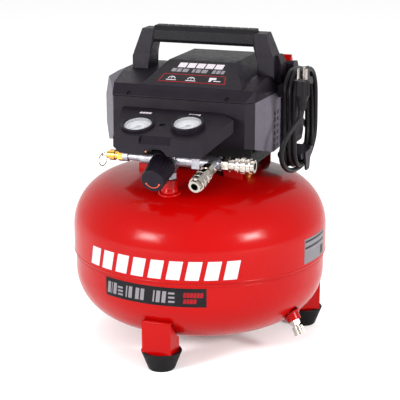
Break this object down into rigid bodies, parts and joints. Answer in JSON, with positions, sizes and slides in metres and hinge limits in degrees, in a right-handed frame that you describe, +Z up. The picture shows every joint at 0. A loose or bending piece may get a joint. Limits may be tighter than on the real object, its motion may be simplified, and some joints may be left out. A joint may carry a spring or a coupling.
{
  "type": "pancake air compressor",
  "caption": "Portable air compressor: a domed pancake tank on three rubber feet under a covered pump with handle, gauges, regulator, couplers and a wound cord.",
  "frame": {"origin": "on the floor under the tank's axis, which is the middle of the box seen from above", "axes": "+Z up, -Y towards the gauges and regulator, +X towards the power cord"},
  "size_m": [0.4009, 0.4055, 0.491],
  "materials": {
    "tank_paint": "glossy red powder coat",
    "foot_rubber": "matte black rubber",
    "zinc_steel": "zinc-plated steel",
    "nickel_plate": "satin nickel plate",
    "black_steel": "black painted steel",
    "brass": "machined brass",
    "copper_tube": "bright copper tube",
    "cast_alloy": "die-cast aluminium",
    "black_plastic": "fine-textured black plastic",
    "grip_rubber": "soft black overmould",
    "grey_plastic": "fine-textured grey plastic",
    "dial_white": "white printed dial",
    "clear_lens": "clear window",
    "switch_red": "red plastic",
    "cord_jacket": "flexible black jacket"
  },
  "bodies": {
    "frame": {"tank_upper_shell": "tank_paint", "tank_lower_shell": "tank_paint", "leg_brackets": "tank_paint", "rubber_feet": "foot_rubber", "frame_bolts": "zinc_steel", "outlet_bung": "tank_paint", "drain_bung": "tank_paint", "drain_valve_body": "nickel_plate", "saddle_brackets": "tank_paint", "pump_base_plate": "black_steel", "isolators": "foot_rubber", "check_valve_body": "brass", "outlet_tube": "copper_tube", "manifold_bar": "cast_alloy", "regulator_body": "cast_alloy", "safety_valve_body": "brass", "tee_fitting": "cast_alloy", "coupler_body_front": "nickel_plate", "coupler_body_right": "nickel_plate", "gauge_case_left": "black_plastic", "gauge_case_right": "black_plastic", "gauge_dials": "dial_white", "gauge_lenses": "clear_lens", "gauge_tubes": "copper_tube", "front_console": "black_plastic", "hood": "black_plastic", "handle_grip": "grip_rubber", "left_shell": "grey_plastic", "right_shell": "grey_plastic", "end_cover": "black_plastic", "cord_hooks": "black_plastic", "shroud_screws": "black_steel", "switch_housing": "black_plastic", "motor_housing": "cast_alloy", "bearings": "zinc_steel", "drive_belt": "foot_rubber", "crankcase": "cast_alloy", "cylinder_sleeve": "cast_alloy", "cylinder_head": "cast_alloy", "head_bolts": "zinc_steel", "cord_gland": "cord_jacket", "cord_ends": "cord_jacket", "cord_winding": "cord_jacket", "power_plug": "cord_jacket", "plug_prongs": "nickel_plate"},
    "knob": {"regulator_knob": "black_plastic"},
    "drain_knob": {"drain_valve_knob": "nickel_plate"},
    "relief_stem": {"safety_valve_stem": "nickel_plate"},
    "relief_ring": {"safety_pull_ring": "nickel_plate"},
    "switch_lever": {"power_switch_lever": "switch_red"},
    "sleeve_front": {"coupler_sleeve_front": "nickel_plate"},
    "sleeve_right": {"coupler_sleeve_right": "nickel_plate"},
    "needle_left": {"gauge_needle_left": "black_plastic"},
    "needle_right": {"gauge_needle_right": "black_plastic"},
    "rotor": {"armature_shaft": "zinc_steel", "cooling_fan": "black_plastic", "drive_pulley": "cast_alloy"},
    "crank": {"flywheel": "cast_alloy"},
    "piston": {"piston_rod": "cast_alloy"},
    "poppet": {"check_valve_poppet": "foot_rubber"}
  },
  "joints": [
    {"name": "knob_turn", "type": "hinge", "parent": "frame", "child": "knob", "pos_m": [-0.003, -0.14, 0.317], "axis": [0, -0.9397, -0.342], "range_deg": [0, 1080]},
    {"name": "drain_turn", "type": "hinge", "parent": "frame", "child": "drain_knob", "pos_m": [0.17247, -0.06277, 0.06775], "axis": [0.4698, -0.171, -0.866], "range_deg": [0, 360]},
    {"name": "relief_pull", "type": "slide", "parent": "frame", "child": "relief_stem", "axis": [-1, 0, 0], "range_m": [0, 0.003], "stiffness_N_per_m": 3000, "springref_m": -0.002},
    {"name": "relief_ring_swing", "type": "hinge", "parent": "relief_stem", "child": "relief_ring", "pos_m": [-0.105, -0.14, 0.317], "axis": [0, 1, 0], "range_deg": [-15, 90]},
    {"name": "switch_tilt", "type": "hinge", "parent": "frame", "child": "switch_lever", "pos_m": [0.116, 0.08, 0.43], "axis": [1, 0, 0], "range_deg": [-14, 14]},
    {"name": "sleeve_front_slide", "type": "slide", "parent": "frame", "child": "sleeve_front", "axis": [-0.1479, -0.9339, -0.3256], "range_m": [-0.005, 0], "stiffness_N_per_m": 1500, "springref_m": 0.003},
    {"name": "sleeve_right_slide", "type": "slide", "parent": "frame", "child": "sleeve_right", "axis": [1, 0, 0], "range_m": [-0.005, 0], "stiffness_N_per_m": 1500, "springref_m": 0.003},
    {"name": "needle_left_turn", "type": "hinge", "parent": "frame", "child": "needle_left", "pos_m": [-0.043, -0.151, 0.36738], "axis": [0, -0.2756, 0.9613], "range_deg": [-270, 0], "stiffness_Nm_per_rad": 0.003, "springref_deg": 28.65},
    {"name": "needle_right_turn", "type": "hinge", "parent": "frame", "child": "needle_right", "pos_m": [0.033, -0.145, 0.3691], "axis": [0, -0.2756, 0.9613], "range_deg": [-270, 0], "stiffness_Nm_per_rad": 0.003, "springref_deg": 28.65},
    {"name": "crank_spin", "type": "hinge", "parent": "frame", "child": "crank", "pos_m": [0, 0, 0.334], "axis": [1, 0, 0], "continuous": true},
    {"name": "rotor_spin", "type": "hinge", "parent": "frame", "child": "rotor", "pos_m": [0, 0.068, 0.345], "axis": [1, 0, 0], "continuous": true},
    {"name": "piston_slide", "type": "slide", "parent": "frame", "child": "piston", "axis": [0, 0, 1], "range_m": [-0.009, 0.009]},
    {"name": "poppet_lift", "type": "slide", "parent": "frame", "child": "poppet", "axis": [0, 0, 1], "range_m": [-0.003, 0], "stiffness_N_per_m": 300, "springref_m": 0.002}
  ],
  "couplings": [
    {"joint": "rotor_spin", "follows": "crank_spin", "ratio": 3.4545}
  ]
}
